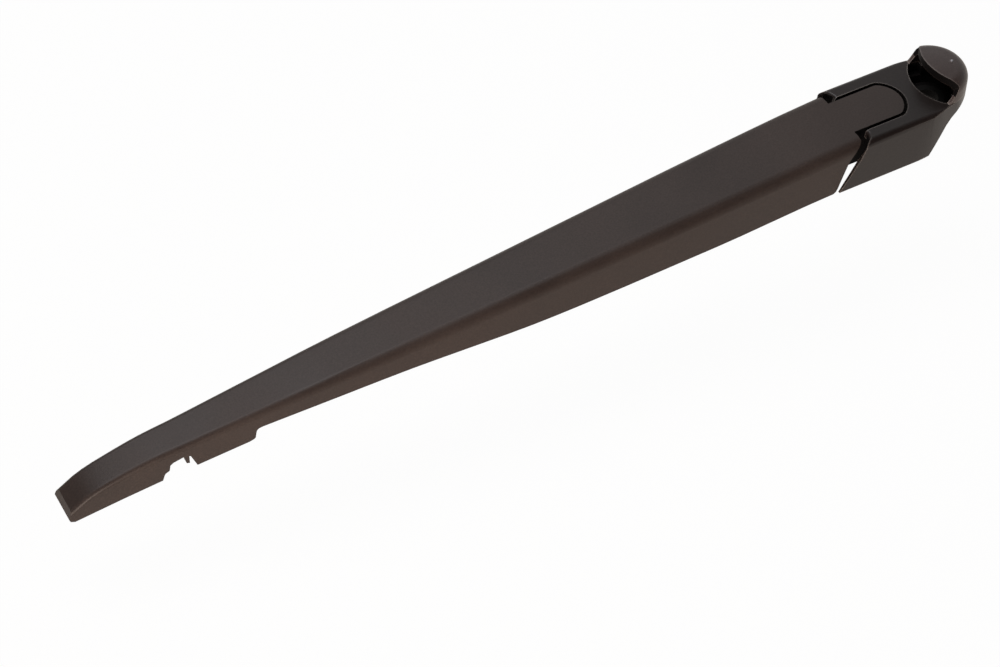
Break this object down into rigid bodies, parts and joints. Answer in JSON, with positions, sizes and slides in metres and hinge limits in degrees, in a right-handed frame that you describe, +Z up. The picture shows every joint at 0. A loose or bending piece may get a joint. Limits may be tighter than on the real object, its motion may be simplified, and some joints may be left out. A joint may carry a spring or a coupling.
{
  "type": "wiper arm",
  "caption": "Rear wiper arm: a mounting head with a domed nut cap, and a long tapered channel arm that folds up on a hinge pin against a tension spring.",
  "frame": {"origin": "on the wiper spindle's axis, at the face of the spindle bush that the spindle nut clamps", "axes": "+X along the arm to its tip, +Y to the side nearest in the picture, +Z up along the spindle to the nut cap"},
  "size_m": [0.3533, 0.0314, 0.0498],
  "materials": {
    "arm": "black plastic with a fine moulded grain, satin matte",
    "head": "die-cast metal, powder-coated black, satin matte",
    "cap": "black plastic with a fine moulded grain, satin matte",
    "steel": "zinc-plated steel, dull",
    "spring": "drawn spring steel, lightly oiled",
    "bush": "natural white plain-bearing plastic"
  },
  "bodies": {
    "head": {"mounting_head": "head", "spindle_bush": "steel", "hinge_pin": "steel", "link_pin": "steel"},
    "arm": {"arm_channel": "arm", "hinge_bush_near": "bush", "hinge_bush_far": "bush", "anchor_pin": "steel", "blade_pin": "steel"},
    "spring": {"tension_spring": "spring"},
    "link": {"spring_link": "steel"},
    "cap": {"nut_cap": "cap"}
  },
  "joints": [
    {"name": "arm_lift", "type": "hinge", "parent": "head", "child": "arm", "pos_m": [0.023, 0, -0.001], "axis": [0, -1, 0], "range_deg": [0, 50], "deforming": ["tension_spring"]},
    {"name": "link_turn", "type": "hinge", "parent": "head", "child": "link", "pos_m": [0.016, 0, -0.0045], "axis": [0, -1, 0], "range_deg": [0, 45.3]},
    {"name": "spring_turn", "type": "hinge", "parent": "arm", "child": "spring", "pos_m": [0.101, 0, -0.006], "axis": [0, -1, 0], "range_deg": [-4.4, 0]},
    {"name": "cap_lift", "type": "slide", "parent": "head", "child": "cap", "axis": [0, 0, 1], "range_m": [0, 0.015]}
  ],
  "couplings": [
    {"joint": "link_turn", "follows": "arm_lift", "ratio": 0.905},
    {"joint": "spring_turn", "follows": "arm_lift", "ratio": -0.087}
  ]
}
